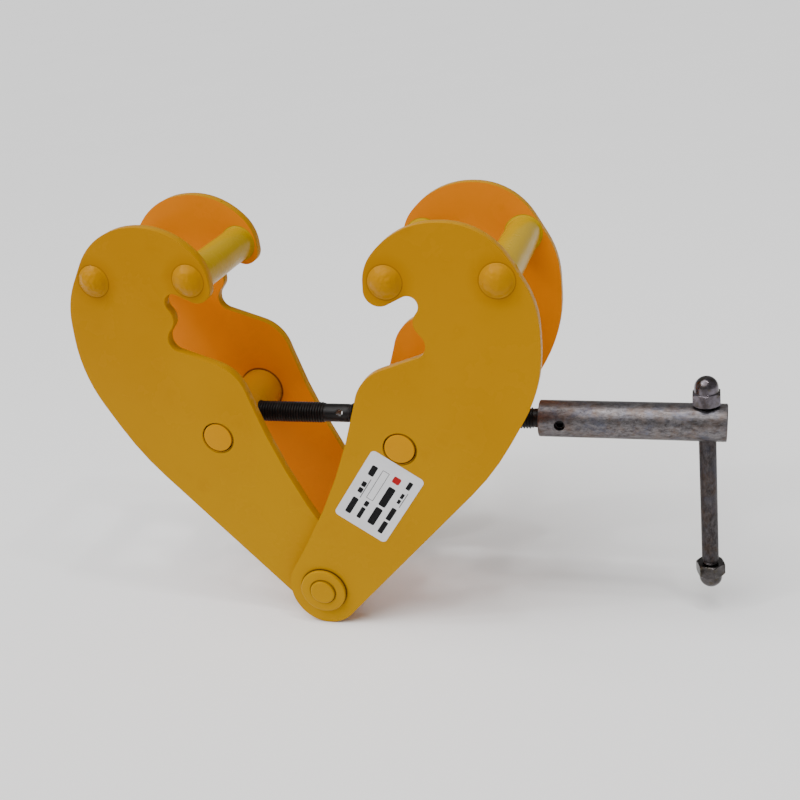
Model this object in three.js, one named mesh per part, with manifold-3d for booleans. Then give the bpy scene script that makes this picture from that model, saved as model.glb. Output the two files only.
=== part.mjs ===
// Adjustable screw beam clamp for a 3 t hoist, in millimetres.
// The origin is the middle of the load pin. +X runs along the spindle towards the handle,
// +Y runs away from the front plates, and +Z points up. The clamp stands part open, as at rest.
import * as THREE from "three";
import { mergeVertices } from "three/addons/utils/BufferGeometryUtils.js";
import Module from "manifold-3d";

const wasm = await Module();
wasm.setup();

// ---------- driving dimensions ----------
const CLEARANCE = 0.3; // between pieces that turn or rest on each other
const ROUND_STEP = THREE.MathUtils.degToRad(5); // widest facet of a rounded corner
const AROUND = 36; // facets around a large turned piece
const AROUND_SMALL = 24; // facets around a small turned piece
const DOME_STEPS = 4; // facets from the rim of a dome to its top
const RIVETED_GAP = 0.1; // between pieces that are riveted together
const CHAMFER = 1; // shoulders and steps
const FINE_CHAMFER = 0.8; // small turned edges
const END_CHAMFER = 1.4; // ends of the load pin and of the spindle's thread

// Cheek plates. The right arm's pair is the outer one.
const PLATE = 7;
const OUTER_FACE = 53.3; // half the width over the outer plates
const LAYER_GAP = 0.4; // between an outer and an inner plate at the load pin

// The right arm's outline, anticlockwise: x, z and the radius that rounds each corner.
const ARM_OUTLINE = [
  [-30.5, -0.5, 30], // eye around the load pin
  [-3, -43, 24],
  [128, 99.5, 190], // straight lower back, curving up
  [161, 160, 98],
  [159, 212.5, 62], // shoulder
  [130, 261.5, 48],
  [76.5, 263, 52], // crown of the hook
  [53.5, 236.5, 29], // nose
  [52, 205, 10],
  [101.5, 229, 6.5], // upper corner of the throat
  [80, 200.5, 9.5], // tooth in the throat's back wall
  [95, 181.5, 9], // lower corner of the throat
  [43.5, 163.5, 29], // shelf under the beam's flange
  [23, 89.5, 430], // hollow inner edge
];

// Where the arm's cross pieces sit: the trunnion nut and two riveted spacers.
const TRUNNION = { x: 66, z: 114.2 };
const OUTER_TIE = { x: 135.7, z: 227 };
const INNER_TIE = { x: 67.1, z: 226.7 };

const SPACER_D = 23.6;
const RIVET_D = 14;
const RIVET_HEAD_D = 20.4;
const RIVET_HEAD_HEIGHT = 5.8;
const RIVET_RIM = 0.8; // upright rim under a rivet's dome
const RIVET_RIM_STEP = 0.4; // from the rim in to the dome

const PIN_D = 24;
const PIN_END_D = 18;
const COLLAR_D = 33;
const COLLAR = 3;
const PIN_STAND_OUT = 1.6; // the riveted pin end beyond its collar

const NUT_D = 32; // trunnion barrel
const NUT_END_D = 21; // trunnion ends that turn in the plates
const NUT_HOLE_D = 22.3;

// Spindle: left and right threads with a plain middle.
const THREAD_D = 15;
const PLAIN_D = 13;
const THREAD_LEFT = -128;
const PLAIN_FROM = -4;
const PLAIN_TO = 16;
const THREAD_RIGHT = 147;
const SPINDLE_END = 188;
const GAUGE_HOLE = { x: 10, d: 5, tilt: 25 }; // cross hole in the plain middle

// Handle: a sleeve pinned on the spindle, a sliding bar and a cap nut on each of its ends.
const SLEEVE_D = 24.6;
const SLEEVE_FROM = 149.6;
const SLEEVE_TO = 269;
const SLEEVE_PIN = { x: 164, d: 6.8, tilt: 1.5, wall: 1.2, sunk: 1.6 };
const BLIND_GAP = 1; // between a blind bore's floor and what goes in it
const PLUG_D = 15;
const PLUG_LENGTH = 3.4;
const PLUG_SUNK = 0.4;
const BAR_D = 11;
const BAR_HOLE_D = 13;
const BAR_X = 256.6;
const BAR_LEAN = 3.2; // degrees, taken up by the play in the sleeve's hole
const BAR_FREE = 118; // bare length between the two cap nuts
const BAR_THREAD = 12; // threaded length inside each nut
const BAR_THREAD_D = 9.4;
const BAR_NECK = 1.5; // thread showing below each nut
const BAR_NECK_SLOPE = 0.7;
const BAR_PLAY = 0.8; // between the sleeve and the upper nut
const CAP_FLATS = 17;
const CAP_HEX = 9;
const CAP_DOME_D = 15.2;
const CAP_HEIGHT = 19;
const CAP_HOLE_D = 10;
const CAP_CHAMFER = 1.2;
const CAP_CORNER_REACH = 2; // how far the chamfer's cone runs past the flats
const CAP_TWIST = 12; // degrees from one nut's hexagon to the other's

const LABEL = { x: 48.4, z: 77.6, along: 59, across: 40.6, turn: 56.5, thick: 0.4, corner: 4.5, gap: 0.05 };

// ---------- finishes ----------
const finish = (color, roughness, metalness) => () =>
  new THREE.MeshStandardMaterial({ color, roughness, metalness });
const yellowPaint = finish(0xf0b000, 0.32, 0);
const blackOxide = finish(0x17130f, 0.42, 0.9);
const bareSteel = finish(0x847a76, 0.38, 1);
const darkSteel = finish(0x4a4543, 0.45, 1);
const zinc = finish(0x8a8288, 0.28, 1);
const sticker = finish(0xc8c9cc, 0.5, 0);

// ---------- shape helpers ----------
function mesh(name, geometry, material) {
  const made = new THREE.Mesh(geometry, material());
  made.name = name;
  return made;
}

// The solid that a closed geometry bounds, for joining and cutting.
function toSolid(geometry) {
  const bare = geometry.index ? geometry.toNonIndexed() : geometry.clone();
  bare.deleteAttribute("normal");
  bare.deleteAttribute("uv");
  const welded = mergeVertices(bare, 1e-4);
  return new wasm.Manifold(
    new wasm.Mesh({
      numProp: 3,
      vertProperties: new Float32Array(welded.attributes.position.array),
      triVerts: new Uint32Array(welded.index.array),
    }),
  );
}

function toGeometry(solid) {
  const data = solid.getMesh();
  const geometry = new THREE.BufferGeometry();
  geometry.setAttribute("position", new THREE.BufferAttribute(data.vertProperties, 3));
  geometry.setIndex(new THREE.BufferAttribute(data.triVerts, 1));
  const flat = geometry.toNonIndexed();
  flat.computeVertexNormals();
  return flat;
}

// Takes each of the cutters away from a geometry.
function cut(geometry, ...cutters) {
  return toGeometry(cutters.reduce((left, cutter) => left.subtract(toSolid(cutter)), toSolid(geometry)));
}

// A turned piece about Y. The profile is [radius, y] from its low end to its high end.
function turned(profile, around = AROUND) {
  const points = profile.map(([r, y]) => new THREE.Vector2(r, y));
  return new THREE.LatheGeometry(points, around);
}

// A turned solid about Y whose profile closes on the axis at both ends.
function turnedSolid(profile, around) {
  const low = profile[0][1];
  const high = profile[profile.length - 1][1];
  return turned([[0, low], ...profile, [0, high]], around);
}

// A tube about Y with chamfered ends.
function tube(outer, inner, low, high, chamfer, around) {
  return turned(
    [
      [inner, low],
      [outer - chamfer, low],
      [outer, low + chamfer],
      [outer, high - chamfer],
      [outer - chamfer, high],
      [inner, high],
      [inner, low],
    ],
    around,
  );
}

// A rod about Y from low to high with chamfered ends.
function rod(radius, low, high, chamfer, around) {
  return turnedSolid(
    [
      [radius - chamfer, low],
      [radius, low + chamfer],
      [radius, high - chamfer],
      [radius - chamfer, high],
    ],
    around,
  );
}

// A round cutter through the YZ plane at x, tilted up from -Y by some degrees.
function crossDrill(diameter, x, tilt) {
  const drill = new THREE.CylinderGeometry(diameter / 2, diameter / 2, 3 * SLEEVE_D, AROUND_SMALL);
  drill.rotateX(-THREE.MathUtils.degToRad(tilt));
  drill.translate(x, 0, 0);
  return drill;
}

// A dome over a flat face at y: profile points from the rim to just off the axis.
function domeProfile(radius, height, y) {
  const ball = (radius * radius + height * height) / (2 * height);
  const span = Math.asin(radius / ball);
  return Array.from({ length: DOME_STEPS }, (_, i) => {
    const angle = span * (1 - i / DOME_STEPS);
    return [ball * Math.sin(angle), y + ball * Math.cos(angle) - ball + height];
  });
}

// Rounds each corner [x, z, radius] of an outline with an arc and returns the points.
function roundedOutline(corners) {
  const points = [];
  corners.forEach(([x, z, radius], i) => {
    const [bx, bz] = corners[(i + corners.length - 1) % corners.length];
    const [ax, az] = corners[(i + 1) % corners.length];
    const corner = new THREE.Vector2(x, z);
    const back = new THREE.Vector2(bx, bz).sub(corner).normalize();
    const ahead = new THREE.Vector2(ax, az).sub(corner).normalize();
    const half = Math.acos(back.dot(ahead)) / 2;
    const middle = back.clone().add(ahead).normalize();
    const centre = corner.clone().addScaledVector(middle, radius / Math.sin(half));
    const start = corner.clone().addScaledVector(back, radius / Math.tan(half)).sub(centre);
    const end = corner.clone().addScaledVector(ahead, radius / Math.tan(half)).sub(centre);
    const sweep = Math.atan2(start.cross(end), start.dot(end));
    const steps = Math.max(2, Math.ceil(Math.abs(sweep) / ROUND_STEP));
    for (let k = 0; k <= steps; k++)
      points.push(start.clone().rotateAround(new THREE.Vector2(), (sweep * k) / steps).add(centre));
  });
  return points;
}

function roundHole(x, z, diameter, around = AROUND) {
  const hole = new THREE.Path();
  const points = Array.from({ length: around }, (_, i) => {
    const angle = (2 * Math.PI * i) / around;
    return new THREE.Vector2(x + (diameter / 2) * Math.cos(angle), z + (diameter / 2) * Math.sin(angle));
  });
  hole.setFromPoints(points);
  return hole;
}

// Extrudes an outline drawn in X and Z so that it fills y = front to front + thick.
function slab(shape, front, thick) {
  const geometry = new THREE.ExtrudeGeometry(shape, { depth: thick, bevelEnabled: false });
  geometry.rotateX(Math.PI / 2);
  geometry.translate(0, front + thick, 0);
  return geometry;
}

// ---------- arms ----------
// side is +1 for the right arm and -1 for the left one.
function plateShape(side) {
  const corners = ARM_OUTLINE.map(([x, z, r]) => [side * x, z, r]);
  if (side < 0) corners.reverse();
  const shape = new THREE.Shape(roundedOutline(corners));
  shape.holes = [
    roundHole(0, 0, PIN_END_D + 2 * CLEARANCE),
    roundHole(side * TRUNNION.x, TRUNNION.z, NUT_HOLE_D),
    roundHole(side * OUTER_TIE.x, OUTER_TIE.z, RIVET_D + 2 * CLEARANCE, AROUND_SMALL),
    roundHole(side * INNER_TIE.x, INNER_TIE.z, RIVET_D + 2 * CLEARANCE, AROUND_SMALL),
  ];
  return shape;
}

// A rivet right through an arm, with a dome on each outer face.
function rivet(face) {
  const seat = face + RIVETED_GAP;
  const rear = [
    [RIVET_D / 2, seat],
    [RIVET_HEAD_D / 2, seat],
    ...domeProfile(RIVET_HEAD_D / 2 - RIVET_RIM_STEP, RIVET_HEAD_HEIGHT - RIVET_RIM, seat + RIVET_RIM),
  ];
  const front = rear.map(([r, y]) => [r, -y]).reverse();
  const top = seat + RIVET_HEAD_HEIGHT;
  return turned([[0, -top], ...front, ...rear, [0, top]], AROUND_SMALL);
}

function makeArm(side, name, outerFace) {
  const arm = new THREE.Group();
  const shape = plateShape(side);
  const innerFace = outerFace - PLATE;
  arm.add(mesh("front_" + name + "_plate", slab(shape, -outerFace, PLATE), yellowPaint));
  arm.add(mesh("rear_" + name + "_plate", slab(shape, innerFace, PLATE), yellowPaint));
  for (const [place, at] of [["outer", OUTER_TIE], ["inner", INNER_TIE]]) {
    const end = innerFace - RIVETED_GAP;
    const bore = RIVET_D / 2 + CLEARANCE;
    const spacer = mesh(
      name + "_" + place + "_spacer",
      tube(SPACER_D / 2, bore, -end, end, FINE_CHAMFER),
      yellowPaint,
    );
    const through = mesh(name + "_" + place + "_rivet", rivet(outerFace), yellowPaint);
    for (const piece of [spacer, through]) {
      piece.position.set(side * at.x, 0, at.z);
      arm.add(piece);
    }
  }
  return arm;
}

// ---------- load pin ----------
function makeLoadPin() {
  const group = new THREE.Group();
  const shoulder = OUTER_FACE - 2 * PLATE - LAYER_GAP - CLEARANCE;
  const collarFrom = OUTER_FACE + CLEARANCE;
  const end = collarFrom + COLLAR + PIN_STAND_OUT;
  const half = [
    [PIN_D / 2, shoulder - CHAMFER],
    [PIN_D / 2 - CHAMFER, shoulder],
    [PIN_END_D / 2, shoulder],
    [PIN_END_D / 2, end - END_CHAMFER],
    [PIN_END_D / 2 - END_CHAMFER, end],
  ];
  const front = half.map(([r, y]) => [r, -y]).reverse();
  group.add(mesh("load_pin", turnedSolid([...front, ...half]), yellowPaint));
  for (const [name, sign] of [["front_pin_collar", -1], ["rear_pin_collar", 1]]) {
    const low = sign > 0 ? collarFrom : -collarFrom - COLLAR;
    const ring = tube(COLLAR_D / 2, PIN_END_D / 2 + CLEARANCE, low, low + COLLAR, FINE_CHAMFER);
    group.add(mesh(name, ring, yellowPaint));
  }
  return group;
}

// ---------- trunnion nuts ----------
function makeNut(side, name, outerFace) {
  const barrel = outerFace - PLATE - CLEARANCE;
  const half = [
    [NUT_D / 2, barrel - FINE_CHAMFER],
    [NUT_D / 2 - FINE_CHAMFER, barrel],
    [NUT_END_D / 2, barrel],
    [NUT_END_D / 2, outerFace - FINE_CHAMFER],
    [NUT_END_D / 2 - FINE_CHAMFER, outerFace],
  ];
  const front = half.map(([r, y]) => [r, -y]).reverse();
  const bore = new THREE.CylinderGeometry(
    THREAD_D / 2 + CLEARANCE,
    THREAD_D / 2 + CLEARANCE,
    2 * NUT_D,
    AROUND,
  );
  bore.rotateZ(Math.PI / 2);
  const nut = mesh(name, cut(turnedSolid([...front, ...half]), bore), yellowPaint);
  nut.position.set(side * TRUNNION.x, 0, TRUNNION.z);
  return nut;
}

// ---------- spindle and handle, built about an X axis through their group's origin ----------
function alongX(geometry) {
  return geometry.rotateZ(-Math.PI / 2);
}

function makeSpindle() {
  const thread = THREAD_D / 2;
  const plain = PLAIN_D / 2;
  const body = alongX(
    turnedSolid([
      [thread - END_CHAMFER, THREAD_LEFT],
      [thread, THREAD_LEFT + END_CHAMFER],
      [thread, PLAIN_FROM - CHAMFER],
      [plain, PLAIN_FROM],
      [plain, PLAIN_TO],
      [thread, PLAIN_TO + CHAMFER],
      [thread, THREAD_RIGHT - CHAMFER],
      [plain, THREAD_RIGHT],
      [plain, SPINDLE_END - CHAMFER],
      [plain - CHAMFER, SPINDLE_END],
    ]),
  );
  const gauge = crossDrill(GAUGE_HOLE.d, GAUGE_HOLE.x, GAUGE_HOLE.tilt);
  const pinHole = crossDrill(SLEEVE_PIN.d + 2 * CLEARANCE, SLEEVE_PIN.x, SLEEVE_PIN.tilt);
  return mesh("spindle", cut(body, gauge, pinHole), blackOxide);
}

function makeSleeve() {
  const outer = SLEEVE_D / 2;
  const bore = PLAIN_D / 2 + CLEARANCE;
  const plugBore = PLUG_D / 2 + CLEARANCE;
  const floor = SLEEVE_TO - PLUG_LENGTH - BLIND_GAP;
  const body = alongX(
    turned([
      [0, SPINDLE_END + BLIND_GAP],
      [bore, SPINDLE_END + BLIND_GAP],
      [bore, SLEEVE_FROM],
      [outer - CHAMFER, SLEEVE_FROM],
      [outer, SLEEVE_FROM + CHAMFER],
      [outer, SLEEVE_TO - CHAMFER],
      [outer - CHAMFER, SLEEVE_TO],
      [plugBore, SLEEVE_TO],
      [plugBore, floor],
      [0, floor],
    ]),
  );
  const barHole = new THREE.CylinderGeometry(BAR_HOLE_D / 2, BAR_HOLE_D / 2, 2 * SLEEVE_D, AROUND_SMALL);
  barHole.rotateX(Math.PI / 2);
  barHole.translate(BAR_X, 0, 0);
  const pinHole = crossDrill(SLEEVE_PIN.d + 2 * CLEARANCE, SLEEVE_PIN.x, SLEEVE_PIN.tilt);
  return mesh("handle_sleeve", cut(body, barHole, pinHole), bareSteel);
}

// The spring pin that locks the sleeve on the spindle.
function makeSleevePin() {
  const half = SLEEVE_D / 2 - SLEEVE_PIN.sunk;
  const outer = SLEEVE_PIN.d / 2;
  const pin = mesh(
    "handle_spring_pin",
    tube(outer, outer - SLEEVE_PIN.wall, -half, half, SLEEVE_PIN.wall / 3, AROUND_SMALL),
    darkSteel,
  );
  pin.position.x = SLEEVE_PIN.x;
  pin.rotation.x = -THREE.MathUtils.degToRad(SLEEVE_PIN.tilt);
  return pin;
}

function makePlug() {
  const high = SLEEVE_TO - PLUG_SUNK;
  const plug = alongX(rod(PLUG_D / 2, high - PLUG_LENGTH, high, FINE_CHAMFER));
  return mesh("handle_end_plug", plug, darkSteel);
}

// ---------- sliding bar, built upright about its own axis ----------
function capNut() {
  const hex = new THREE.Shape(
    Array.from({ length: 6 }, (_, i) => {
      const angle = (Math.PI / 3) * i;
      const reach = CAP_FLATS / Math.sqrt(3);
      return new THREE.Vector2(reach * Math.cos(angle), reach * Math.sin(angle));
    }),
  );
  const prism = new THREE.ExtrudeGeometry(hex, { depth: CAP_HEX, bevelEnabled: false });
  const skirt = CAP_HEIGHT - CAP_DOME_D / 2;
  const dome = turned([
    [0, CAP_CHAMFER],
    [CAP_DOME_D / 2, CAP_CHAMFER],
    [CAP_DOME_D / 2, skirt],
    ...Array.from({ length: DOME_STEPS }, (_, i) => {
      const angle = ((i + 1) * Math.PI) / (2 * DOME_STEPS + 2);
      return [(CAP_DOME_D / 2) * Math.cos(angle), skirt + (CAP_DOME_D / 2) * Math.sin(angle)];
    }),
    [0, CAP_HEIGHT],
  ]).rotateX(Math.PI / 2);
  const chamfer = turned([
    [0, 0],
    [CAP_FLATS / 2, 0],
    [CAP_FLATS / 2 + CAP_CORNER_REACH, CAP_CHAMFER],
    [CAP_FLATS / 2 + CAP_CORNER_REACH, CAP_HEX - CAP_CHAMFER],
    [CAP_FLATS / 2, CAP_HEX],
    [0, CAP_HEX],
  ]).rotateX(Math.PI / 2);
  const hole = new THREE.CylinderGeometry(
    CAP_HOLE_D / 2,
    CAP_HOLE_D / 2,
    2 * (BAR_THREAD + CLEARANCE),
    AROUND_SMALL,
  ).rotateX(Math.PI / 2);
  return toGeometry(
    toSolid(prism).intersect(toSolid(chamfer)).add(toSolid(dome)).subtract(toSolid(hole)),
  );
}

function makeSlidingBar() {
  const group = new THREE.Group();
  const top = SLEEVE_D / 2 + BAR_PLAY; // the upper nut rests on the sleeve
  const low = top - BAR_FREE;
  const thread = BAR_THREAD_D / 2;
  const bare = BAR_NECK + BAR_NECK_SLOPE;
  const bar = turnedSolid(
    [
      [thread - FINE_CHAMFER, low - BAR_THREAD],
      [thread, low - BAR_THREAD + FINE_CHAMFER],
      [thread, low + BAR_NECK],
      [BAR_D / 2, low + bare],
      [BAR_D / 2, top - bare],
      [thread, top - BAR_NECK],
      [thread, top + BAR_THREAD - FINE_CHAMFER],
      [thread - FINE_CHAMFER, top + BAR_THREAD],
    ],
    AROUND_SMALL,
  ).rotateX(Math.PI / 2);
  group.add(mesh("tommy_bar", bar, darkSteel));
  const upper = mesh("upper_cap_nut", capNut(), zinc);
  upper.position.z = top;
  upper.rotation.z = THREE.MathUtils.degToRad(CAP_TWIST);
  const lower = mesh("lower_cap_nut", capNut(), zinc);
  lower.position.z = low;
  lower.rotation.x = Math.PI;
  group.add(upper, lower);
  group.position.x = BAR_X;
  group.rotation.y = -THREE.MathUtils.degToRad(BAR_LEAN);
  return group;
}

// ---------- rating label on the front right plate ----------
function makeLabel() {
  const { along, across, corner, thick } = LABEL;
  const corners = [
    [-along / 2, -across / 2, corner],
    [along / 2, -across / 2, corner],
    [along / 2, across / 2, corner],
    [-along / 2, across / 2, corner],
  ];
  const label = mesh("rating_label", slab(new THREE.Shape(roundedOutline(corners)), -thick, thick), sticker);
  label.position.set(LABEL.x, -OUTER_FACE - LABEL.gap, LABEL.z);
  label.rotation.y = -THREE.MathUtils.degToRad(LABEL.turn);
  return label;
}

// ---------- assembly ----------
const innerPairFace = OUTER_FACE - PLATE - LAYER_GAP;
const clamp = new THREE.Group();

const rightArm = makeArm(1, "right", OUTER_FACE);
rightArm.add(makeLabel());
const leftArm = makeArm(-1, "left", innerPairFace);

const screw = new THREE.Group();
screw.position.z = TRUNNION.z;
screw.add(makeSpindle(), makeSleeve(), makeSleevePin(), makePlug(), makeSlidingBar());

clamp.add(
  makeLoadPin(),
  rightArm,
  leftArm,
  makeNut(1, "right_trunnion_nut", OUTER_FACE),
  makeNut(-1, "left_trunnion_nut", innerPairFace),
  screw,
);

export default clamp;
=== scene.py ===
"""The looks of the adjustable screw beam clamp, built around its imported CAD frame."""

import math

import bmesh
import bpy
from mathutils import Matrix, Vector, noise


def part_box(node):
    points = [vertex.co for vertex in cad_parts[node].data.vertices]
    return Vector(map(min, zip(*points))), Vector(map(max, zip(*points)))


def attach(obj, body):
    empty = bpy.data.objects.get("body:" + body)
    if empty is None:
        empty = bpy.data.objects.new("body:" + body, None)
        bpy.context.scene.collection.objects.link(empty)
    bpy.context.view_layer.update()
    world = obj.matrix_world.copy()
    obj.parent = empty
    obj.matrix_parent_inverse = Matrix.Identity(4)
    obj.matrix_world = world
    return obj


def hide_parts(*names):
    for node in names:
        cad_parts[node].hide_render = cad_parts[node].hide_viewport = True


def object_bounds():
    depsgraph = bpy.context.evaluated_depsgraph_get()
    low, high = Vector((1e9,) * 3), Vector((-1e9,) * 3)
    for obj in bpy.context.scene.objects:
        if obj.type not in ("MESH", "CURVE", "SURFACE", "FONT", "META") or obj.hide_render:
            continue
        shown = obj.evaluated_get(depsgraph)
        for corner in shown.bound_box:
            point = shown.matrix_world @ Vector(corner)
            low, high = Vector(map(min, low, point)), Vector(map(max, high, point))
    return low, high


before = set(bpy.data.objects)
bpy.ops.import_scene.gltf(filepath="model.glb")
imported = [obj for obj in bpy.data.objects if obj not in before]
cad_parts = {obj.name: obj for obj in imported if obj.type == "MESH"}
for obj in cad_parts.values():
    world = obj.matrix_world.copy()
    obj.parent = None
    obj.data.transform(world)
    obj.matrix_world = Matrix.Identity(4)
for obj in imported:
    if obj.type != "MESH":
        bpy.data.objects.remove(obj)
CAD_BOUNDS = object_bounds()

MM = 0.001
AROUND = 72  # segments around a large turned piece
AROUND_SMALL = 48
NOISE_SEED = 7
noise.seed_set(NOISE_SEED)  # noise_vector differs from run to run without it


def centre(node):
    """The middle of a CAD node's box."""
    low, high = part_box(node)
    return (Vector(low) + Vector(high)) / 2


def half_size(node):
    low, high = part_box(node)
    return (Vector(high) - Vector(low)) / 2


# ---------------------------------------------------------------- camera
def make_camera():
    data = bpy.data.cameras.new("camera")
    data.lens = 48.53
    data.sensor_width = 36
    data.shift_x = 0.031
    data.shift_y = 0.068
    data.clip_start = 0.05
    camera = bpy.data.objects.new("camera", data)
    camera.location = (0.2525, -0.6539, 0.4218)
    camera.rotation_euler = [math.radians(a) for a in (63.66, 5.70, 15.88)]
    bpy.context.scene.collection.objects.link(camera)
    bpy.context.scene.camera = camera


# ---------------------------------------------------------------- mesh tools
def link(name, bm, materials, sharp_deg=32):
    """Turns a bmesh into an object that is smooth except along its sharp edges."""
    bmesh.ops.recalc_face_normals(bm, faces=bm.faces)
    for face in bm.faces:
        face.smooth = True
    for edge in bm.edges:
        edge.smooth = edge.calc_face_angle(0) < math.radians(sharp_deg)
    mesh = bpy.data.meshes.new(name)
    bm.to_mesh(mesh)
    bm.free()
    for material in materials:
        mesh.materials.append(material)
    piece = bpy.data.objects.new(name, mesh)
    bpy.context.scene.collection.objects.link(piece)
    return piece


def place(piece, body, node):
    """Rides a piece on its body in the place of a CAD node."""
    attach(piece, body)
    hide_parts(node)
    return piece


def soften(profile, radius, steps=4):
    """Rounds the inner corners of an open (r, a) profile."""
    points = [Vector(p) for p in profile]
    out = [points[0]]
    for before, corner, after in zip(points, points[1:], points[2:]):
        back, ahead = before - corner, after - corner
        cut = min(radius, 0.45 * back.length, 0.45 * ahead.length)
        start, end = corner + back.normalized() * cut, corner + ahead.normalized() * cut
        for k in range(steps + 1):
            t = k / steps
            out.append(start * (1 - t) ** 2 + corner * 2 * t * (1 - t) + end * t * t)
    out.append(points[-1])
    return out


def lathe(bm, profile, axis, origin, around=AROUND, wobble=None):
    """Turns an (r, a) profile about an axis through the origin. Ends at r = 0 close on a point."""
    axis = Vector(axis).normalized()
    side = axis.orthogonal().normalized()
    up = axis.cross(side)
    origin = Vector(origin)
    rings = []
    for r, a in profile:
        if r < 1e-9:
            rings.append([bm.verts.new(origin + axis * a)])
            continue
        ring = []
        for k in range(around):
            angle = 2 * math.pi * k / around
            out = side * math.cos(angle) + up * math.sin(angle)
            ring.append(bm.verts.new(origin + axis * a + out * r))
        rings.append(ring)
    for low, high in zip(rings, rings[1:]):
        for k in range(around):
            n = (k + 1) % around
            corners = [low[k % len(low)], low[n % len(low)], high[n % len(high)], high[k % len(high)]]
            unique = list(dict.fromkeys(corners))
            if len(unique) > 2:
                bm.faces.new(unique)
    if wobble:
        for ring in rings:
            for vert in ring:
                wobble(vert)


def mirrored(half):
    """A profile that is the same on both sides of a = 0, from its half with a > 0."""
    return [(r, -a) for r, a in reversed(half)] + list(half)


def boolean_cut(piece, *cutters):
    """Takes closed cutter objects away from a piece and deletes them."""
    for cutter in cutters:
        modifier = piece.modifiers.new("cut", "BOOLEAN")
        modifier.operation = "DIFFERENCE"
        modifier.solver = "EXACT"
        modifier.object = cutter
    graph = bpy.context.evaluated_depsgraph_get()
    mesh = bpy.data.meshes.new_from_object(piece.evaluated_get(graph))
    piece.modifiers.clear()
    old = piece.data
    piece.data = mesh
    bpy.data.meshes.remove(old)
    for cutter in cutters:
        bpy.data.objects.remove(cutter)
    sharpen(piece)


def sharpen(piece, sharp_deg=32):
    """Marks a finished mesh's sharp edges again after a cut."""
    bm = bmesh.new()
    bm.from_mesh(piece.data)
    for face in bm.faces:
        face.smooth = True
    for edge in bm.edges:
        edge.smooth = edge.calc_face_angle(0) < math.radians(sharp_deg)
    bm.to_mesh(piece.data)
    bm.free()


def rod_cutter(radius, axis, origin, reach, around=AROUND_SMALL):
    bm = bmesh.new()
    lathe(bm, [(0, -reach), (radius, -reach), (radius, reach), (0, reach)], axis, origin, around)
    return link("cutter", bm, [])


def dents(amount, size, seed):
    """A wobble that shifts each point by up to about the amount, by smooth noise."""
    offset = Vector((seed * 7.3, seed * 3.1, seed * 5.7))

    def move(vert):
        vert.co += noise.noise_vector(vert.co / size + offset) * amount

    return move


# ---------------------------------------------------------------- materials
class Shader:
    """A small helper that builds a node material around one Principled BSDF."""

    def __init__(self, name, **constants):
        self.material = bpy.data.materials.new(name)
        self.material.use_nodes = True
        self.tree = self.material.node_tree
        self.bsdf = self.tree.nodes["Principled BSDF"]
        for socket, value in constants.items():
            self.bsdf.inputs[socket.replace("_", " ")].default_value = value
        self.place = self.node("ShaderNodeTexCoord").outputs["Object"]

    def node(self, kind, **settings):
        made = self.tree.nodes.new(kind)
        for key, value in settings.items():
            setattr(made, key, value)
        return made

    def join(self, source, target):
        self.tree.links.new(source, target)

    def feed(self, socket, value):
        """Gives a socket a constant or another node's output."""
        if hasattr(value, "is_linked"):
            self.join(value, socket)
        else:
            socket.default_value = value

    def stretch(self, scale):
        mapping = self.node("ShaderNodeMapping")
        self.join(self.place, mapping.inputs["Vector"])
        mapping.inputs["Scale"].default_value = scale
        return mapping.outputs["Vector"]

    def noise(self, scale, detail=3, rough=0.55, vector=None, distort=0):
        made = self.node("ShaderNodeTexNoise")
        self.join(vector or self.place, made.inputs["Vector"])
        made.inputs["Scale"].default_value = scale
        made.inputs["Detail"].default_value = detail
        made.inputs["Roughness"].default_value = rough
        made.inputs["Distortion"].default_value = distort
        return made.outputs["Fac"]

    def cells(self, scale, vector=None):
        made = self.node("ShaderNodeTexVoronoi")
        self.join(vector or self.place, made.inputs["Vector"])
        made.inputs["Scale"].default_value = scale
        return made.outputs["Distance"]

    def remap(self, value, low, high, to_low=0.0, to_high=1.0):
        made = self.node("ShaderNodeMapRange")
        self.join(value, made.inputs["Value"])
        for key, number in (("From Min", low), ("From Max", high), ("To Min", to_low), ("To Max", to_high)):
            made.inputs[key].default_value = number
        return made.outputs["Result"]

    def math(self, operation, a, b=0.0):
        made = self.node("ShaderNodeMath", operation=operation)
        self.feed(made.inputs[0], a)
        self.feed(made.inputs[1], b)
        return made.outputs["Value"]

    def mix(self, factor, a, b):
        made = self.node("ShaderNodeMix", data_type="RGBA")
        self.feed(made.inputs["Factor"], factor)
        self.feed(made.inputs[6], a)
        self.feed(made.inputs[7], b)
        return made.outputs[2]

    def bump(self, *layers):
        """Chains bumps given as (height, strength, distance)."""
        normal = None
        for height, strength, distance in layers:
            made = self.node("ShaderNodeBump")
            made.inputs["Strength"].default_value = strength
            made.inputs["Distance"].default_value = distance
            self.join(height, made.inputs["Height"])
            if normal:
                self.join(normal, made.inputs["Normal"])
            normal = made.outputs["Normal"]
        self.join(normal, self.bsdf.inputs["Normal"])
        self.join(normal, self.bsdf.inputs["Coat Normal"])

    def colour(self, source):
        self.join(source, self.bsdf.inputs["Base Color"])

    def roughness(self, source):
        self.join(source, self.bsdf.inputs["Roughness"])


# Tones of the golden enamel, from the plates' upper and lower halves to the dark of painted shade and
# chips.
GOLD = (0.405, 0.178, 0.0, 1)
# lighter lower tone: painted floor-bounce light
GOLD_LOW_BOUNCE_LIT = (0.415, 0.212, 0.0, 1)
# faces between the plates: painted shade and orange bounce light
BOUNCE_SHADE_AMBER = (0.72, 0.215, 0.0, 1)
# lighter lemon copy for the spacers: painted light
LIT_LEMON = (0.42, 0.262, 0.0, 1)
RIM_TONE = (0.44, 0.205, 0.0, 1)
# lighter copy for the trunnion barrels: painted light where they sit in shade
LIT_BARREL = (0.50, 0.220, 0.0, 1)
# darker tone for random mottles and for painted shade round the rivet heads
SHADE_AND_MOTTLE = (0.24, 0.065, 0.0, 1)
# near black for painted shade in gaps and at the feet of parts, and for chipped paint
GAP_SHADE_AND_CHIPS = (0.020, 0.007, 0.001, 1)


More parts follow.
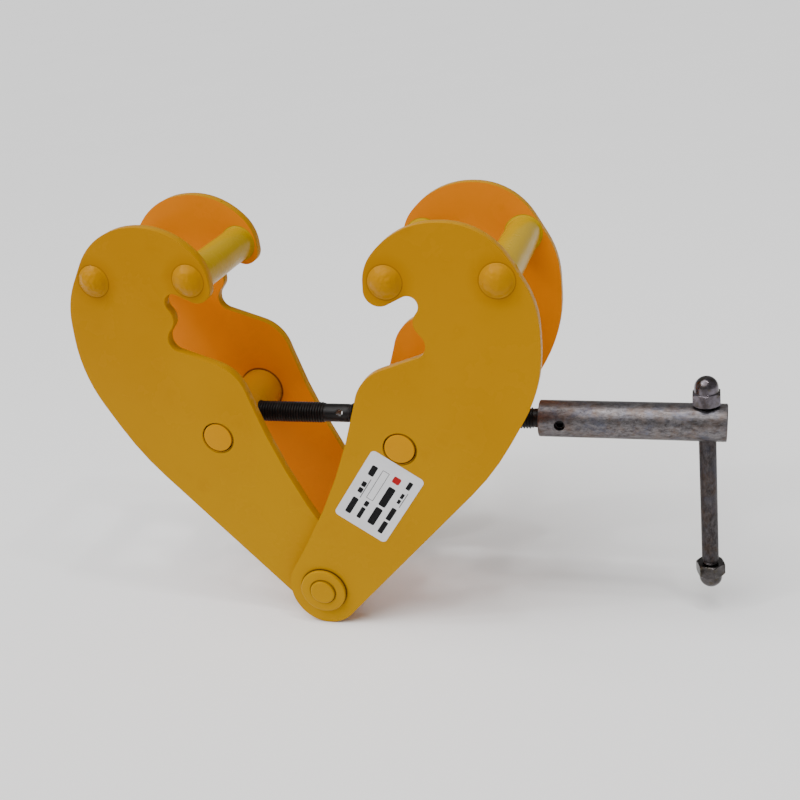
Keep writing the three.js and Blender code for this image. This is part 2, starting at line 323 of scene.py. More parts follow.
def near_ring(s, at, radius, width):
    """1 close to a circle about Y through a point, fading to 0 at a width from it."""
    flat = s.node("ShaderNodeVectorMath", operation="MULTIPLY")
    s.join(s.place, flat.inputs[0])
    flat.inputs[1].default_value = (1, 0, 1)
    distance = s.node("ShaderNodeVectorMath", operation="DISTANCE")
    s.join(flat.outputs["Vector"], distance.inputs[0])
    distance.inputs[1].default_value = (at.x, 0, at.z)
    off = s.math("ABSOLUTE", s.math("SUBTRACT", distance.outputs["Value"], radius))
    return s.remap(off, 0, width, 1, 0)


def yellow_paint(name, upper=GOLD, lower=GOLD_LOW_BOUNCE_LIT, rings=(), ragged=0.0, gloss=0.03, shine=0.5, beads=0.0):
    """Golden enamel over steel.

    Each ring is (centre, radius, width, strength, tone) and darkens the paint round what stands on it, as
    painted shade.
    Ragged paint is chipped and rough, and beads are the small lumps of a thick coat.
    """
    s = Shader(name, IOR=1.3, Specular_IOR_Level=shine, Specular_Tint=(1, 0.5, 0.0, 1), Coat_Weight=gloss,
               Coat_Roughness=0.08)
    height = s.node("ShaderNodeSeparateXYZ")
    s.join(s.place, height.inputs[0])
    broad = s.noise(14, 3, 0.5)
    peel = s.noise(420, 2, 0.5)
    # lighter towards the bottom: painted floor-bounce light
    body = s.mix(s.remap(height.outputs["Z"], 0.0, 0.25), lower, upper)
    # random darker mottles
    body = s.mix(s.remap(broad, 0.40, 0.70, 0, 0.10), body, SHADE_AND_MOTTLE)
    body = s.mix(s.remap(s.noise(60, 4, 0.6), 0.56, 0.78, 0, 0.12), body, SHADE_AND_MOTTLE)
    # rings of painted shade round what stands on the paint
    for at, radius, width, strength, tone in rings:
        shade = s.math("MULTIPLY", near_ring(s, at, radius, width), strength)
        body = s.mix(shade, body, tone)
    # chipped paint shows the same near black
    chip = s.remap(s.noise(330, 4, 0.7), 0.66, 0.70, 0, 0.6 * ragged)
    s.colour(s.mix(chip, body, GAP_SHADE_AND_CHIPS))
    s.roughness(s.remap(s.noise(30, 4, 0.6), 0.3, 0.7, 0.20, 0.32))
    s.bump((broad, 0.06, 0.004), (peel, 0.07, 0.0005), (s.noise(520, 4, 0.7), 0.02 + 0.4 * ragged, 0.0010),
           (s.noise(600, 1, 0.4), beads, 0.0008))
    return s.material


# Dark, light, brown and blue tones of the two bare steels; the brown is painted reflection of the orange
# plates.
TURNED = (
    (0.052, 0.045, 0.046, 1), (0.19, 0.178, 0.182, 1),
    (0.13, 0.08, 0.052, 1), (0.08, 0.093, 0.14, 1),
)
ROLLED = (
    (0.022, 0.018, 0.018, 1), (0.078, 0.07, 0.072, 1),
    (0.06, 0.036, 0.022, 1), (0.045, 0.047, 0.065, 1),
)


def black_oxide():
    s = Shader("black_oxide", Metallic=0.1, Specular_IOR_Level=0.22)
    worn = s.remap(s.noise(160, 4, 0.65), 0.52, 0.74)
    s.colour(s.mix(worn, (0.004, 0.003, 0.003, 1), (0.018, 0.014, 0.013, 1)))
    s.roughness(s.remap(s.noise(90, 3), 0.3, 0.7, 0.30, 0.50))
    s.bump((s.noise(900, 2), 0.12, 0.0003))
    return s.material


def bare_steel(name, tones, along, rough=(0.30, 0.50)):
    """Bare mill-finished steel: blotchy scale drawn out along the bar, brown blotches that are painted
    reflection of the orange plates, bluish blotches, pits and fine scratches.
    """
    dark, light, brown, blue = tones
    s = Shader(name, Metallic=0.92, Specular_IOR_Level=0.5)
    drawn = s.stretch(tuple(0.5 if k == along else 1.0 for k in range(3)))
    mottle = s.noise(430, 7, 0.75, drawn, 0.3)
    body = s.mix(s.remap(mottle, 0.36, 0.64), dark, light)
    # brown blotches: painted reflection of the orange plates
    body = s.mix(s.remap(s.noise(90, 5, 0.7), 0.47, 0.66, 0, 0.5), body, brown)
    body = s.mix(s.remap(s.noise(60, 5, 0.7, distort=1.0), 0.50, 0.68, 0, 0.5), body, blue)
    pits = s.remap(s.cells(620), 0.10, 0.22, 1, 0)
    pits = s.math("MULTIPLY", pits, s.remap(s.noise(120, 2), 0.50, 0.58))
    s.colour(s.mix(s.math("MULTIPLY", pits, 0.7), body, (0.02, 0.016, 0.015, 1)))
    s.roughness(s.remap(s.noise(110, 5, 0.65, drawn), 0.3, 0.7, *rough))
    scratches = s.noise(1500, 2, 0.5, s.stretch(tuple(0.05 if k == along else 1.0 for k in range(3))))
    s.bump((mottle, 0.20, 0.0006), (scratches, 0.05, 0.0003), (pits, 0.25, -0.0004))
    return s.material


def zinc_plate(name, dark, light):
    s = Shader(name, Metallic=1.0)
    cloud = s.noise(120, 4, 0.6)
    body = s.mix(s.remap(cloud, 0.35, 0.65), dark, light)
    stain = s.remap(s.noise(260, 3), 0.52, 0.66, 0, 0.6)
    s.colour(s.mix(stain, body, (0.06, 0.05, 0.028, 1)))
    s.roughness(s.remap(s.noise(200, 4), 0.3, 0.7, 0.16, 0.34))
    s.bump((s.noise(700, 3), 0.10, 0.0003))
    return s.material


def label_foil():
    s = Shader("label_foil", Metallic=0.15, Coat_Weight=0.2, Coat_Roughness=0.2)
    s.colour(s.mix(s.remap(s.noise(60, 3), 0.3, 0.7), (0.60, 0.60, 0.62, 1), (0.68, 0.68, 0.70, 1)))
    s.roughness(s.remap(s.noise(300, 3), 0.3, 0.7, 0.36, 0.48))
    s.bump((s.noise(1200, 2), 0.04, 0.0002))
    return s.material


def ink(name, colour):
    s = Shader(name, Specular_IOR_Level=0.1)
    worn = tuple(0.9 * c + 0.02 for c in colour[:3]) + (1,)
    s.colour(s.mix(s.remap(s.noise(900, 3), 0.5, 0.75, 0, 0.6), colour, worn))
    s.roughness(s.remap(s.noise(400, 2), 0.3, 0.7, 0.42, 0.58))
    return s.material


# ---------------------------------------------------------------- arms
PLATE_EDGE = 0.6 * MM  # rounding of a cheek plate's edges under the paint
OUTSIDE, INSIDE, RIM = 0, 1, 2  # a plate's materials, in the order of its slots


def plate(side, face, paints):
    """A cheek plate from its CAD outline, with rolled-over edges and an uneven cut band."""
    node = f"{face}_{side}_plate"
    bm = bmesh.new()
    bm.from_mesh(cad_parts[node].data)
    bmesh.ops.remove_doubles(bm, verts=bm.verts, dist=1e-6)
    bmesh.ops.dissolve_limit(bm, angle_limit=math.radians(0.5), verts=bm.verts, edges=bm.edges)
    rim = [e for e in bm.edges if len(e.link_faces) == 2 and e.calc_face_angle(0) > math.radians(60)]
    bmesh.ops.bevel(
        bm, geom=rim, offset=PLATE_EDGE, segments=2, profile=0.5, affect="EDGES", clamp_overlap=True
    )
    bmesh.ops.recalc_face_normals(bm, faces=bm.faces)
    outward = math.copysign(1, centre(node).y)
    for wall in bm.faces:
        facing = wall.normal.y * outward
        wall.material_index = OUTSIDE if facing > 0.999 else INSIDE if facing < -0.999 else RIM
    bmesh.ops.triangulate(bm, faces=[f for f in bm.faces if len(f.verts) > 4])
    piece = link(f"{node}_piece", bm, paints, sharp_deg=40)
    for wall in piece.data.polygons:
        wall.use_smooth = wall.material_index == RIM
    return place(piece, f"{side}_arm", node)


def spacer(side, place_name, paint):
    """A painted spacer tube. Paint has filled the corner where it meets each plate."""
    node = f"{side}_{place_name}_spacer"
    at, half = centre(node), half_size(node)
    r, end, fillet = half.x, half.y, 1.1 * MM
    run = [(r + fillet * (1 - math.sin(a)), end - fillet * (1 - math.cos(a)))
           for a in (math.radians(9 * k) for k in range(10, -1, -1))]
    profile = [(r, end * k / 12) for k in range(12)] + run
    bm = bmesh.new()
    lathe(bm, [(0, -end)] + mirrored(profile[1:]) + [(0, end)], (0, 1, 0), at, AROUND,
          dents(0.12 * MM, 14 * MM, len(place_name) + (side == "left")))
    piece = link(f"{node}_piece", bm, [paint])
    return place(piece, f"{side}_arm", node)


RIVET_SKIRT = 0.7 * MM  # paint that has run out round a head's foot
HAMMER_SIZE, HAMMER_DEPTH = 3.4 * MM, 0.8 * MM


def rivet(side, place_name, paint, seed):
    """A hammered dome on each outer face with a shank between them."""
    node = f"{side}_{place_name}_rivet"
    at, half = centre(node), half_size(node)
    head, top = half.x, half.y
    shank = 0.6 * head
    seat = abs(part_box(f"front_{side}_plate")[0][1])
    height = top - seat
    ball = (head * head + height * height) / (2 * height)
    span = math.asin(head / ball)
    dome = [(ball * math.sin(a), seat + ball * math.cos(a) - ball + height)
            for a in (span * (1 - k / 16) for k in range(1, 16))]
    skirt = [(shank, seat - 0.5 * MM), (head + RIVET_SKIRT, seat - 0.02 * MM),
             (head + 0.15 * MM, seat + 0.45 * MM)]
    half_profile = skirt + dome + [(0, top)]
    bm = bmesh.new()

    def hammer(vert):
        if abs(vert.co.y) > seat + 0.3 * MM:
            lift = noise.noise(vert.co / HAMMER_SIZE + Vector((seed * 3.7, seed, 0)))
            vert.co.y += math.copysign(HAMMER_DEPTH * lift, vert.co.y)

    profile = [(r, -a) for r, a in reversed(half_profile)][:-1] + [(shank, 0.5 * MM - seat)] + half_profile
    lathe(bm, profile, (0, 1, 0), (at.x, 0, at.z), AROUND_SMALL, hammer)
    bmesh.ops.remove_doubles(bm, verts=bm.verts, dist=1e-6)
    piece = link(f"{node}_piece", bm, [paint], sharp_deg=50)
    return place(piece, f"{side}_arm", node)


def arm(side, seed):
    """One arm: two plates, two spacers and two rivets; the plates' outer paint has its own rings of painted
    shade round the rivets, the trunnion end and the pin collar.
    """
    rings = []
    for name in ("outer", "inner"):
        node = f"{side}_{name}_rivet"
        at, head = centre(node), half_size(node).x
        # a thin line of painted shade at each rivet head's foot
        rings.append((at, head + 0.4 * MM, 1.1 * MM, 0.75, GAP_SHADE_AND_CHIPS))
        # a broad ring of painted shade round each rivet head
        rings.append((at, head, 9 * MM, 0.22, SHADE_AND_MOTTLE))
    nut = centre(f"{side}_trunnion_nut")
    # painted shade in the gap round the trunnion end
    rings.append((nut + Vector((0.3 * MM, 0, -0.2 * MM)), 11.1 * MM, 0.8 * MM, 1.0, GAP_SHADE_AND_CHIPS))
    # painted shade round the pin collar's foot
    rings.append((centre("load_pin"), half_size("front_pin_collar").x, 1.2 * MM, 0.9, GAP_SHADE_AND_CHIPS))
    paint = yellow_paint(f"yellow_{side}_plates", rings=rings)
    # painted shade on the inner faces round the barrel's end
    barrel = ((nut, half_size(f"{side}_trunnion_nut").x + 0.4 * MM, 1.2 * MM, 0.9, GAP_SHADE_AND_CHIPS),)
    # the faces between the plates get a warmer orange copy of the enamel: painted shade and bounce light
    inside = yellow_paint(f"yellow_{side}_inside", BOUNCE_SHADE_AMBER, BOUNCE_SHADE_AMBER, barrel)
    plain = yellow_paint(f"yellow_{side}_fittings", gloss=0.05, shine=0.35, beads=0.2)
    # the spacers get a lighter lemon copy of the enamel: painted light
    bright = yellow_paint(f"yellow_{side}_spacers", LIT_LEMON, LIT_LEMON, gloss=0.05, shine=0.2, beads=0.2)
    rim = yellow_paint(f"yellow_{side}_rims", RIM_TONE, RIM_TONE, ragged=1.0, gloss=0, shine=0.05)
    for face in ("front", "rear"):
        plate(side, face, [paint, inside, rim])
    for k, name in enumerate(("outer", "inner")):
        spacer(side, name, bright)
        rivet(side, name, plain, seed + k)


# ---------------------------------------------------------------- load pin
PIN_END = 9 * MM  # radius of the riveted ends


def load_pin(paint):
    """The painted pin and the collars under its riveted ends."""
    half = half_size("load_pin")
    collar = half_size("front_pin_collar")
    face = abs(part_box("front_pin_collar")[1][1])
    r, end_r, end = half.x, PIN_END, half.y
    shoulder = abs(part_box("front_left_plate")[1][1]) - 0.4 * MM
    body = soften([(0, 0), (r, 0), (r, shoulder), (end_r, shoulder), (end_r, end), (end_r * 0.66, end),
                   (0, end)], 1.1 * MM)
    body = [p for p in body if p[1] > 0 or p[0] > r - 1e-6][1:]
    bm = bmesh.new()
    lathe(bm, mirrored(body), (0, 1, 0), (0, 0, 0), AROUND)
    place(link("load_pin_piece", bm, [paint]), "load_pin", "load_pin")
    for name, sign in (("front_pin_collar", -1), ("rear_pin_collar", 1)):
        inner, outer = face, face + 2 * collar.y
        ring = soften([(end_r, outer - 0.3 * MM), (end_r + 0.8 * MM, outer), (collar.x, outer),
                       (collar.x, inner), (end_r, inner)], 1.0 * MM)
        ring = [(r_, sign * a) for r_, a in ring]
        bm = bmesh.new()
        lathe(bm, ring + [ring[0]], (0, 1, 0), (0, 0, 0), AROUND)
        bmesh.ops.remove_doubles(bm, verts=bm.verts, dist=1e-7)
        place(link(f"{name}_piece", bm, [paint]), "load_pin", name)


# ---------------------------------------------------------------- trunnion nuts
TRUNNION_END = 10.2 * MM  # radius of the ends that turn in the plates
TRUNNION_BORE = 7.7 * MM


def trunnion_nut(side, paint):
    """A barrel nut with reduced ends that turn in the plates, bored for the spindle."""
    node = f"{side}_trunnion_nut"
    at, half = centre(node), half_size(node)
    shoulder = abs(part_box(f"front_{side}_plate")[1][1]) - 0.3 * MM
    body = soften([(half.x, 0), (half.x, shoulder), (TRUNNION_END, shoulder), (TRUNNION_END, half.y),
                   (0, half.y)], 0.6 * MM)
    bm = bmesh.new()
    lathe(bm, [(r, -a) for r, a in reversed(body[1:])] + body[1:], (0, 1, 0), (at.x, 0, at.z), AROUND,
          dents(0.06 * MM, 9 * MM, 2 + (side == "left")))
    piece = link(f"{node}_piece", bm, [paint])
    boolean_cut(piece, rod_cutter(TRUNNION_BORE, (1, 0, 0), at, 30 * MM))
    return place(piece, f"{side}_nut", node)


# ---------------------------------------------------------------- spindle
PITCH = 2 * MM
FLANKS = (1.0, 0.93, 0.36, 0.0, 0.0, 0.64)  # share of the thread's depth at each step of a pitch
THREAD_AROUND = 36
THREAD_DEPTH = 1.2 * MM
PLAIN_RADIUS = 6.5 * MM  # the plain stretch between the two threads
LEFT_THREAD_END, RIGHT_THREAD_START, RIGHT_THREAD_END = -0.5 * MM, 16 * MM, 147 * MM
GAUGE_HOLE = {"x": 10 * MM, "radius": 2.5 * MM, "tilt": math.radians(25)}


def thread(bm, start, end, crest, root, hand, at):
    """A helical thread skin along X that sinks into the core at both ends."""
    per_turn = len(FLANKS)
    first = math.floor(start / PITCH) * per_turn - per_turn
    last = math.ceil(end / PITCH) * per_turn + per_turn
    run_out = 1.6 * PITCH
    grid = {}
    for k in range(first, last + 1):
        for j in range(THREAD_AROUND):
            x = PITCH * (k / per_turn + hand * j / THREAD_AROUND)
            inside = max(0.0, min(1.0, min(x - start, end - x) / run_out))
            r = root + (crest - root) * FLANKS[k % per_turn] * inside
            if inside == 0.0:
                r = root - 0.25 * MM
            angle = 2 * math.pi * j / THREAD_AROUND
            x = max(start, min(end, x))
            grid[k, j] = bm.verts.new(at + Vector((x, r * math.cos(angle), r * math.sin(angle))))
    for k in range(first, last):
        for j in range(THREAD_AROUND):
            wrap = (j + 1) // THREAD_AROUND * hand * per_turn
            n = (j + 1) % THREAD_AROUND
            corners = [(k, j), (k + 1, j), (k + 1 + wrap, n), (k + wrap, n)]
            if all(c in grid for c in corners):
                bm.faces.new([grid[c] for c in corners])


def close_ends(bm):
    """Merges what the clamping flattened and fills the open end loops."""
    bmesh.ops.remove_doubles(bm, verts=bm.verts, dist=2e-6)
    bmesh.ops.dissolve_degenerate(bm, edges=bm.edges, dist=1e-6)
    loose = [v for v in bm.verts if not v.link_faces]
    bmesh.ops.delete(bm, geom=loose, context="VERTS")
    open_edges = [e for e in bm.edges if len(e.link_faces) == 1]
    bmesh.ops.holes_fill(bm, edges=open_edges, sides=0)


def spindle(metal):
    node = "spindle"
    low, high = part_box(node)
    at = Vector((0, 0, centre(node).z))
    crest = half_size(node).z - 0.1 * MM
    root = crest - THREAD_DEPTH
    plain, left, right, thread_end = PLAIN_RADIUS, LEFT_THREAD_END, RIGHT_THREAD_START, RIGHT_THREAD_END
    core = soften([
        (0, low[0]), (root - 1.2 * MM, low[0]), (root, low[0] + 1.5 * MM), (root, left - 2 * MM),
        (plain, left), (plain, right - 1 * MM), (root, right + 1 * MM), (root, thread_end - 1 * MM),
        (plain, thread_end + 0.5 * MM), (plain, high[0] - 1 * MM), (plain - 1 * MM, high[0]), (0, high[0]),
    ], 0.5 * MM)
    bm = bmesh.new()
    lathe(bm, core, (1, 0, 0), at, AROUND_SMALL)
    piece = link("spindle_piece", bm, [metal])
    across = Vector((0, -math.cos(GAUGE_HOLE["tilt"]), math.sin(GAUGE_HOLE["tilt"])))
    hole_at = at + Vector((GAUGE_HOLE["x"], 0, 0))
    boolean_cut(piece, rod_cutter(GAUGE_HOLE["radius"], across, hole_at, 12 * MM, 32))
    for start, end, hand in ((low[0] + 1 * MM, left, -1), (right, thread_end, 1)):
        bm = bmesh.new()
        thread(bm, start, end, crest, root, hand, at)
        close_ends(bm)
        skin = link("thread_skin", bm, [metal], sharp_deg=80)
        merge_into(piece, skin)
    return place(piece, "screw", node)


def merge_into(piece, other):
    """Adds another object's mesh to a piece and deletes the other object."""
    bm = bmesh.new()
    bm.from_mesh(piece.data)
    bm.from_mesh(other.data)
    bm.to_mesh(piece.data)
    bm.free()
    bpy.data.objects.remove(other)


# ---------------------------------------------------------------- handle
SLEEVE_BORE, PLUG_BORE = 6.8 * MM, 7.8 * MM  # radii
BAR_HOLE = 13 * MM
BAR_LEAN = math.radians(3.2)
SPRING_PIN = 6.8 * MM
SPRING_PIN_TILT = math.radians(1.5)
SPRING_PIN_AXIS = Vector((0, -math.cos(SPRING_PIN_TILT), math.sin(SPRING_PIN_TILT)))


def sleeve(steel):
    node = "handle_sleeve"
    low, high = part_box(node)
    at = Vector((0, 0, centre(node).z))
    r = half_size(node).z
    bore, plug_bore = SLEEVE_BORE, PLUG_BORE
    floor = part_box("handle_end_plug")[0][0] - 0.5 * MM
    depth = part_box("spindle")[1][0] + 1 * MM
    profile = soften([(0, depth), (bore, depth), (bore, low[0]), (r, low[0]), (r, high[0]),
                      (plug_bore, high[0]), (plug_bore, floor), (0, floor)], 0.9 * MM)
    bm = bmesh.new()
    lathe(bm, profile, (1, 0, 0), at, AROUND, dents(0.05 * MM, 18 * MM, 5))
    piece = link("handle_sleeve_piece", bm, [steel])
    axis, bar_middle = bar_frame()[:2]
    crossing = bar_middle + axis * ((at.z - bar_middle.z) / axis.z)
    bar_hole = rod_cutter(BAR_HOLE / 2, (0, 0, 1), crossing, 20 * MM)
    pin_at = Vector((centre("handle_spring_pin").x, 0, at.z))
    pin_hole = rod_cutter(SPRING_PIN / 2 + 0.2 * MM, SPRING_PIN_AXIS, pin_at, 20 * MM, 32)
    boolean_cut(piece, bar_hole, pin_hole)
    return place(piece, "screw", node)


def spring_pin(steel):
    """The spring pin, a plain tube sunk in its hole."""
    node = "handle_spring_pin"
    at = centre(node)
    reach = half_size(node).y - 1.6 * MM
    outer, inner = SPRING_PIN / 2 - 0.1 * MM, SPRING_PIN / 2 - 0.9 * MM
    bm = bmesh.new()
    wall = soften([(inner, -reach), (outer, -reach), (outer, reach), (inner, reach)], 0.3 * MM)
    lathe(bm, wall + [wall[0]], SPRING_PIN_AXIS, at, AROUND_SMALL)
    bmesh.ops.remove_doubles(bm, verts=bm.verts, dist=1e-7)
    piece = link("handle_spring_pin_piece", bm, [steel])
    return place(piece, "screw", node)


def end_plug(steel):
    """The plug pressed in the sleeve's open end, with a shallow centre mark."""
    node = "handle_end_plug"
    low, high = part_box(node)
    at = Vector((0, 0, centre(node).z))
    r = half_size(node).z
    profile = soften([(0, low[0]), (r, low[0]), (r, high[0]), (1.6 * MM, high[0]), (0, high[0] - 1.2 * MM)],
                     0.4 * MM)
    bm = bmesh.new()
    lathe(bm, profile, (1, 0, 0), at, AROUND_SMALL)
    piece = link("handle_end_plug_piece", bm, [steel])
    return place(piece, "screw_travel", node)


def bar_frame():
    """The sliding bar's upward axis, its middle and the distance between its cap nuts' middles."""
    axis = Vector((-math.sin(BAR_LEAN), 0, math.cos(BAR_LEAN)))
    apart = (centre("upper_cap_nut") - centre("lower_cap_nut")).dot(axis)
    return axis, centre("tommy_bar"), apart


CAP_HEIGHT = 19 * MM
CAP_HEX = 9 * MM
CAP_FLATS = 17 * MM
CAP_DOME = 7.5 * MM  # radius
CAP_BORE = 4.9 * MM  # radius


def sliding_bar(steel):
    """The bar with a neck and a short thread below each cap nut."""
    axis, middle, span = bar_frame()
    seat = span / 2 - CAP_HEIGHT / 2
    r, neck = half_size("tommy_bar").y, 4.5 * MM
    profile = [(r, 0), (r, seat - 3.0 * MM), (r - 0.15 * MM, seat - 2.2 * MM), (neck, seat - 1.9 * MM)]
    for k in range(6):  # the last turns of the nut's thread
        start = seat - 1.6 * MM + 0.75 * MM * k
        profile += [(neck, start), (neck + 0.35 * MM, start + 0.37 * MM)]
    profile = profile[1:] + [(neck, seat + 10 * MM), (0, seat + 11 * MM)]
    bm = bmesh.new()
    lathe(bm, mirrored(profile), axis, middle, AROUND_SMALL, dents(0.06 * MM, 22 * MM, 8))
    piece = link("tommy_bar_piece", bm, [steel])
    return place(piece, "sliding_bar", "tommy_bar")


def cap_nut(name, sign, turn, metal):
    """A hexagon cap nut: chamfered hexagon, flange step and dome."""
    axis, middle, span = bar_frame()
    axis = axis * sign
    seat = middle + axis * (span / 2 - CAP_HEIGHT / 2)
    side = Vector((0, 1, 0))
    up = axis.cross(side)
    apothem = CAP_FLATS / 2
    corner = apothem / math.cos(math.pi / 6)

    def hexagon(angle):
        return apothem / math.cos((angle + math.pi / 6) % (math.pi / 3) - math.pi / 6)

    # Rows of (height, radius, whether the hexagon's flats cut the row short), from the seat up.
    rows = [(0.0, CAP_BORE, False), (0.0, apothem * 0.93, False)]
    steps = [k / 8 for k in range(9)]
    round_low, round_high = apothem * 0.95, apothem * 0.94
    for t in steps:
        rows.append((1.3 * MM * t, round_low + (corner - round_low) * math.sin(t * math.pi / 2), True))
    for t in steps:
        height = CAP_HEX - 1.5 * MM * (1 - t)
        rows.append((height, round_high + (corner - round_high) * math.cos(t * math.pi / 2), True))
    skirt = CAP_HEIGHT - CAP_DOME
    rows += [(CAP_HEX, CAP_DOME + 0.7 * MM, False), (CAP_HEX + 0.25 * MM, CAP_DOME + 0.12 * MM, False),
             (CAP_HEX + 0.8 * MM, CAP_DOME, False), (skirt, CAP_DOME, False)]
    rows += [(skirt + CAP_DOME * math.sin(a), CAP_DOME * math.cos(a), False)
             for a in (math.radians(9 * k) for k in range(1, 10))]
    bm = bmesh.new()
    rings = []
    for height, r, hexed in rows:
        ring = []
        for k in range(AROUND):
            angle = 2 * math.pi * k / AROUND
            reach = min(r, hexagon(angle)) if hexed else r
            out = side * math.cos(angle + turn) + up * math.sin(angle + turn)
            ring.append(bm.verts.new(seat + axis * height + out * reach))
        rings.append(ring)
    rings.insert(0, [bm.verts.new(v.co + axis * 6 * MM) for v in rings[0]])  # the bore's end
    for low_ring, high_ring in zip(rings, rings[1:]):
        for k in range(AROUND):
            n = (k + 1) % AROUND
            bm.faces.new([low_ring[k], low_ring[n], high_ring[n], high_ring[k]])
    bm.faces.new(rings[0])
    bm.faces.new(rings[-1])
    bmesh.ops.remove_doubles(bm, verts=bm.verts, dist=2e-6)
    piece = link(f"{name}_piece", bm, [metal], sharp_deg=24)
    return place(piece, "sliding_bar", name)


# ---------------------------------------------------------------- label
LABEL_LONG, LABEL_HIGH, LABEL_TURN = 59 * MM, 40.6 * MM, math.radians(56.5)


def rounded_box(bm, x, y, width, height, corner, low, high, index):
    """A flat box with rounded corners in the label's own plane."""
    loop = []
    for cx, cy, start in ((width / 2, height / 2, 0), (-width / 2, height / 2, 90),
                          (-width / 2, -height / 2, 180), (width / 2, -height / 2, 270)):
        mx, my = cx - math.copysign(corner, cx), cy - math.copysign(corner, cy)
        for k in range(7):
            a = math.radians(start + 15 * k)
            loop.append((x + mx + corner * math.cos(a), y + my + corner * math.sin(a)))
    top = [bm.verts.new((u, v, high)) for u, v in loop]
    bottom = [bm.verts.new((u, v, low)) for u, v in loop]
    faces = [bm.faces.new(top), bm.faces.new(bottom)]
    for k in range(len(loop)):
        n = (k + 1) % len(loop)
        faces.append(bm.faces.new([bottom[k], bottom[n], top[n], top[k]]))
    for face in faces:
        face.material_index = index


def label(foil, black, red):
    """A silver-grey label whose print is plain bars, a blank field and a red square."""
    node = "rating_label"
    at = centre(node)
    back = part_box("front_right_plate")[0][1]
    bm = bmesh.new()
    rounded_box(bm, 0, 0, LABEL_LONG, LABEL_HIGH, 3.2 * MM, -0.05 * MM, 0.18 * MM, 0)
    print_low, print_high = 0.1 * MM, 0.2 * MM
    bars = [  # middle u and v, width and height in millimetres, material
        (-16.5, 12.6, 14, 4.2, 1), (0.5, 10.6, 17, 0.5, 1), (-2.5, 13.0, 4.2, 3.2, 1),
        (3.0, 13.0, 4.2, 3.2, 1), (15.5, 12.6, 8.5, 4.2, 1),
        (-18.0, 4.6, 9.5, 3.0, 1), (-9.5, 4.6, 4.5, 3.0, 1),
        (-14.5, -4.6, 15, 5.2, 1), (3.5, -4.6, 17, 5.2, 1), (18.5, -4.2, 5.4, 5.4, 2),
        (-19.0, -13.2, 10.5, 3.6, 1), (-6.5, -13.2, 11, 3.6, 1), (8.0, -15.2, 13, 0.45, 1),
        (5.4, -12.9, 3.4, 2.2, 1), (10.4, -12.9, 4.2, 2.2, 1), (20.0, -13.2, 6.5, 3.0, 1),
    ]
    for u, v, width, height, index in bars:
        corner = min(width, height) * 0.22
        rounded_box(bm, u * MM, v * MM, width * MM, height * MM, corner * MM, print_low, print_high, index)
    u, v, width, height, line = 7.5, 4.6, 25.0, 4.8, 0.35  # the empty field and its outline
    for du, dv, w, h in ((0, height / 2, width, line), (0, -height / 2, width, line),
                         (width / 2, 0, line, height), (-width / 2, 0, line, height)):
        rounded_box(bm, (u + du) * MM, (v + dv) * MM, w * MM, h * MM, 0.1 * MM, print_low, print_high, 1)
    turn = Matrix.Rotation(-LABEL_TURN, 4, "Y") @ Matrix.Rotation(math.radians(90), 4, "X")
    bm.transform(Matrix.Translation((at.x, back, at.z)) @ turn)
    piece = link("rating_label_piece", bm, [foil, black, red])
    return place(piece, "right_arm", node)


# ---------------------------------------------------------------- floor and light
FLOOR_REACH = 30.0


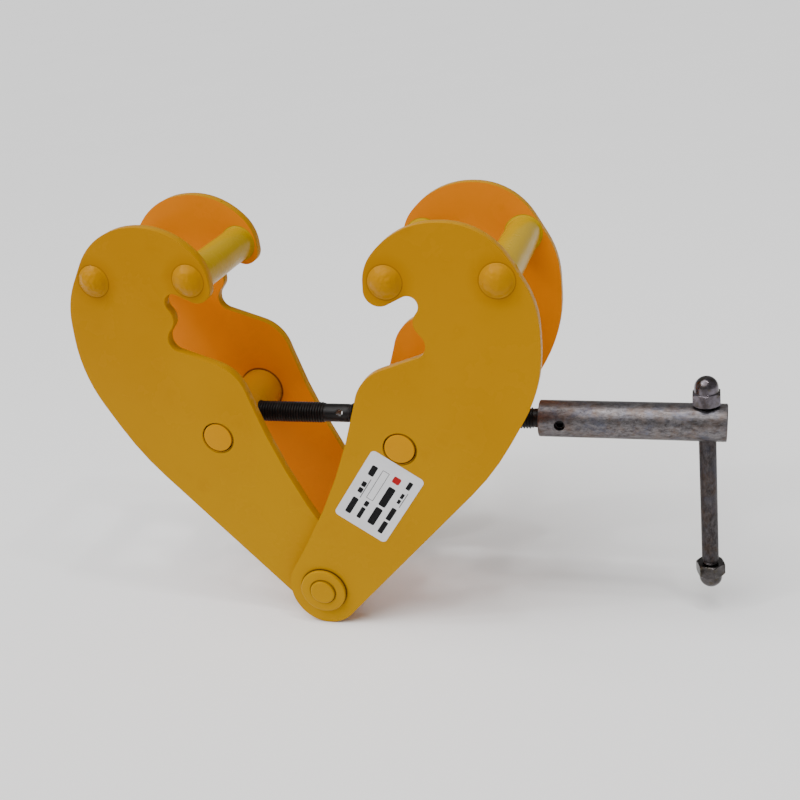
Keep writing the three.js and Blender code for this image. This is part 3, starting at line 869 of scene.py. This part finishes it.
def studio():
    """A plain pale floor just under the clamp, a white world, a soft sun and three small lamps."""
    height = CAD_BOUNDS[0][2] - 0.6 * MM
    bm = bmesh.new()
    bm.faces.new([bm.verts.new((x * FLOOR_REACH, y * FLOOR_REACH, height))
                  for x, y in ((-1, -1), (1, -1), (1, 1), (-1, 1))])
    s = Shader("floor", Specular_IOR_Level=0.1)
    s.colour(s.mix(s.noise(3, 2), (0.90, 0.90, 0.90, 1), (0.93, 0.93, 0.93, 1)))
    s.bsdf.inputs["Roughness"].default_value = 0.8
    floor = link("floor", bm, [s.material])

    world = bpy.data.worlds.new("studio")
    world.use_nodes = True
    background = world.node_tree.nodes["Background"]
    background.inputs["Color"].default_value = (1.0, 1.0, 1.0, 1)
    background.inputs["Strength"].default_value = 0.4
    bpy.context.scene.world = world

    sun = bpy.data.lights.new("sun", "SUN")
    sun.energy = 3.5
    sun.angle = math.radians(60)
    aim(sun, Vector((-0.35, -0.35, 0.87)), Vector((0, 0, 0)))
    middle = Vector((0.05, 0, 0.14))
    for name, where, size, watts in (
        ("lamp_a", (-0.75, -0.55, 1.25), 0.06, 2.2),
        ("lamp_b", (0.30, -0.20, 1.5), 0.06, 2.0),
        ("lamp_c", (0.55, -0.30, 1.3), 0.06, 1.8),
    ):
        lamp = bpy.data.lights.new(name, "AREA")
        lamp.size = size
        lamp.energy = watts
        aim(lamp, Vector(where), middle)


def aim(light, where, at):
    """Adds a light to the scene at a place, shining at a point."""
    lamp = bpy.data.objects.new(light.name, light)
    lamp.location = where
    lamp.rotation_mode = "QUATERNION"
    lamp.rotation_quaternion = (at - where).to_track_quat("-Z", "Y")
    bpy.context.scene.collection.objects.link(lamp)


# ---------------------------------------------------------------- assembly
make_camera()
# painted shade round the pin's riveted ends
pin_end_shade_ring = ((Vector((0, 0, 0)), PIN_END + 0.4 * MM, 0.8 * MM, 0.7, GAP_SHADE_AND_CHIPS),)
fittings = yellow_paint("yellow_fittings", rings=pin_end_shade_ring, gloss=0.05)
# the barrels' paint is a lighter copy of the enamel: painted light
barrels = yellow_paint("yellow_barrels", LIT_BARREL, LIT_BARREL, gloss=0.05)
arm("right", 1)
arm("left", 5)
turned_steel = bare_steel("bare_steel", TURNED, 0)
rolled_steel = bare_steel("dark_steel", ROLLED, 2, (0.36, 0.56))
bright_zinc = zinc_plate("zinc_plate", (0.050, 0.042, 0.045, 1), (0.15, 0.135, 0.155, 1))
dull_zinc = zinc_plate("dull_zinc_plate", (0.022, 0.019, 0.017, 1), (0.085, 0.078, 0.078, 1))
load_pin(fittings)
trunnion_nut("right", barrels)
trunnion_nut("left", barrels)
spindle(black_oxide())
sleeve(turned_steel)
spring_pin(rolled_steel)
end_plug(rolled_steel)
sliding_bar(rolled_steel)
cap_nut("upper_cap_nut", 1, math.radians(30), bright_zinc)
cap_nut("lower_cap_nut", -1, math.radians(13), dull_zinc)
label(label_foil(), ink("label_black", (0.004, 0.004, 0.005, 1)), ink("label_red", (0.35, 0.008, 0.010, 1)))
studio()
